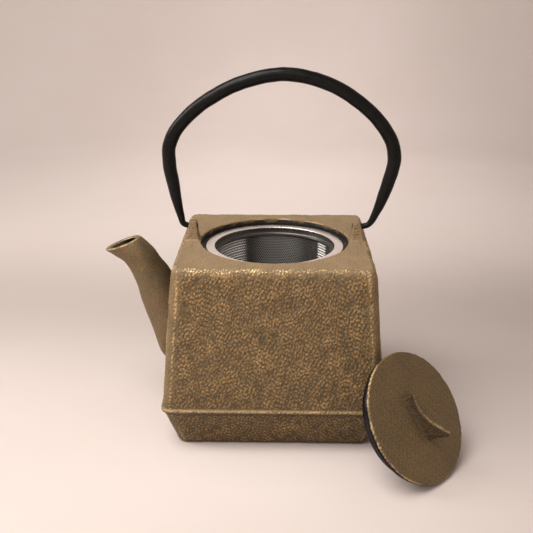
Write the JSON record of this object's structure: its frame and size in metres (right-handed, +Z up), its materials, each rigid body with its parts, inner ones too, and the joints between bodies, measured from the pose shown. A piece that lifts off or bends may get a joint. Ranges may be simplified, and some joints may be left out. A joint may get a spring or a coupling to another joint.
{
  "type": "teapot",
  "caption": "Square cast iron teapot with a ridge near its foot, a side spout, a swinging bail handle, a lift-out steel infuser and a loose round lid.",
  "frame": {"origin": "centre of the pot's base, on the surface it stands on", "axes": "+Z up, -X the way the spout points, X along the handle's hinge axis, lid leaning on the +X -Y corner"},
  "size_m": [0.1951, 0.1622, 0.1951],
  "materials": {
    "cast_iron_body": "bronze painted sand-cast iron, pebbled on the walls, worn gold along the edges",
    "cast_iron_spout": "bronze painted sand-cast iron, fine grain",
    "cast_iron_lugs": "bronze painted sand-cast iron, fine grain",
    "handle_steel": "satin black paint",
    "infuser_steel": "polished stainless sheet",
    "infuser_mesh": "fine stainless mesh",
    "lid_iron": "bronze painted sand-cast iron, fine grain, worn gold on the knob's ridge and the rim",
    "lid_enamel": "black enamel over iron"
  },
  "bodies": {
    "pot": {"pot_body": "cast_iron_body", "spout": "cast_iron_spout", "lug_left": "cast_iron_lugs", "lug_right": "cast_iron_lugs"},
    "handle": {"handle_bow": "handle_steel"},
    "infuser": {"infuser_rim": "infuser_steel", "infuser_mesh_sleeve": "infuser_mesh", "infuser_hem_ring": "infuser_steel", "infuser_mesh_base": "infuser_mesh"},
    "lid": {"lid_plate": "lid_iron", "lid_locating_ring": "lid_enamel", "lid_knob": "lid_iron"}
  },
  "joints": [
    {"name": "handle_swing", "type": "hinge", "parent": "pot", "child": "handle", "pos_m": [0, 0, 0.1084], "axis": [1, 0, 0], "range_deg": [-98, 98]},
    {"name": "infuser_lift", "type": "slide", "parent": "pot", "child": "infuser", "axis": [0, 0, 1], "range_m": [0, 0.065]},
    {"name": "lid_lift", "type": "slide", "parent": "pot", "child": "lid", "axis": [0.6267, -0.5486, 0.5534], "range_m": [0, 0.1]}
  ]
}
